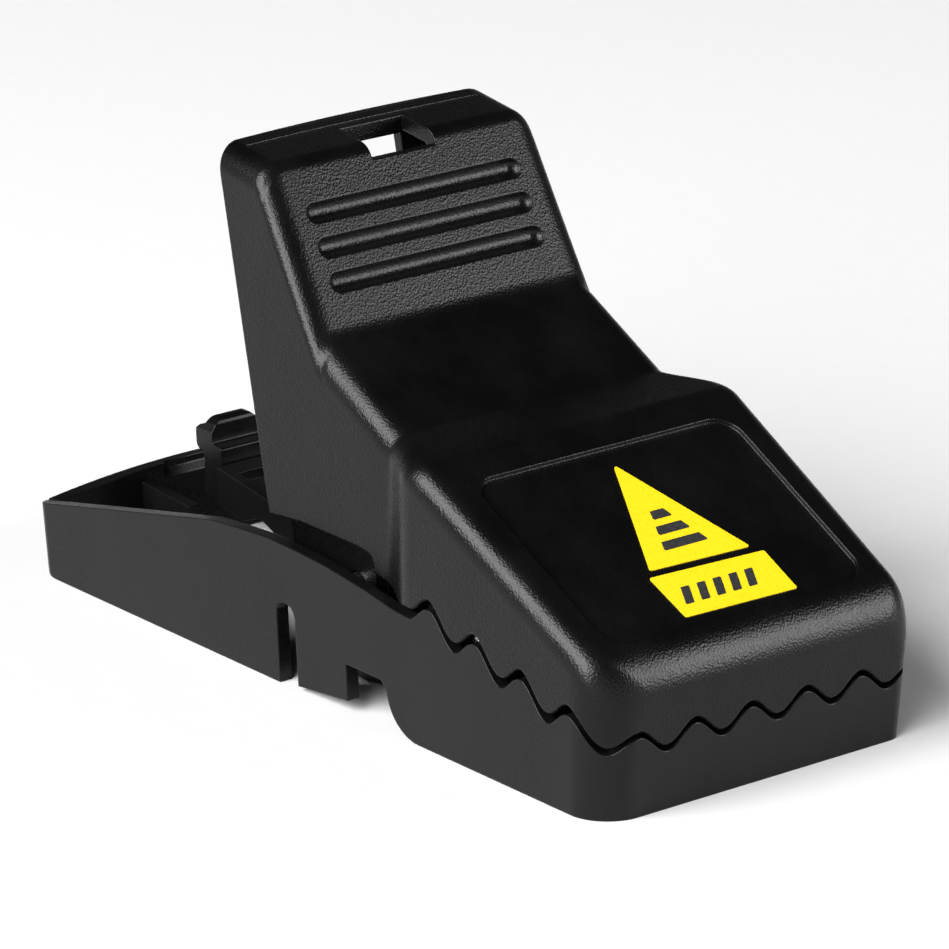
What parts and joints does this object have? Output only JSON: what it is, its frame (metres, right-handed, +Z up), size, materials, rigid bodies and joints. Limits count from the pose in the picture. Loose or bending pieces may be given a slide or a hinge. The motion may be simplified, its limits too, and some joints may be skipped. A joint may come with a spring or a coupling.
{
  "type": "snap mouse trap",
  "caption": "Press-to-set mouse trap: a toothed upper jaw snaps shut on a hollow base, with a latch lever, bait pedal and twist-out bait cup.",
  "frame": {"origin": "on the ground, under the middle of the whole trap with its jaws shut", "axes": "+X towards the toothed nose, +Y to the trap's left, +Z up"},
  "size_m": [0.1012, 0.0456, 0.058],
  "materials": {
    "base_black": "satin",
    "jaw_black": "fine pebbled grain",
    "lever_black": "satin",
    "label_yellow": "printed sticker",
    "steel": "drawn",
    "spring_steel": "oiled wire",
    "cup_grey": "satin"
  },
  "bodies": {
    "base": {"base_shell": "base_black", "hinge_pin": "steel", "hinge_clip_right": "steel", "hinge_clip_left": "steel", "spring_spool_right": "lever_black", "spring_spool_left": "lever_black", "hinge_spacer": "lever_black", "trigger_pin": "steel", "jaw_spring_right": "spring_steel", "jaw_spring_left": "spring_steel", "trigger_spring": "spring_steel"},
    "jaw": {"upper_jaw": "jaw_black", "label_triangle": "label_yellow", "label_strip": "label_yellow", "jaw_spring_right_arm": "spring_steel", "jaw_spring_left_arm": "spring_steel"},
    "trigger": {"trigger_lever": "lever_black", "latch_hook": "lever_black", "bait_pedal": "lever_black"},
    "cup": {"bait_cup": "cup_grey"}
  },
  "joints": [
    {"name": "jaw_hinge", "type": "hinge", "parent": "base", "child": "jaw", "pos_m": [0.00389, 0, 0.013], "axis": [0, -1, 0], "range_deg": [0, 65], "stiffness_Nm_per_rad": 0.25, "springref_deg": -45.84},
    {"name": "trigger_hinge", "type": "hinge", "parent": "base", "child": "trigger", "pos_m": [0.00189, 0, 0.0047], "axis": [0, 1, 0], "range_deg": [0, 1.8], "stiffness_Nm_per_rad": 0.004, "springref_deg": -17.19},
    {"name": "cup_twist", "type": "hinge", "parent": "base", "child": "cup", "pos_m": [0.02989, 0, 0.002], "axis": [0, 0, 1], "range_deg": [0, 35]}
  ]
}
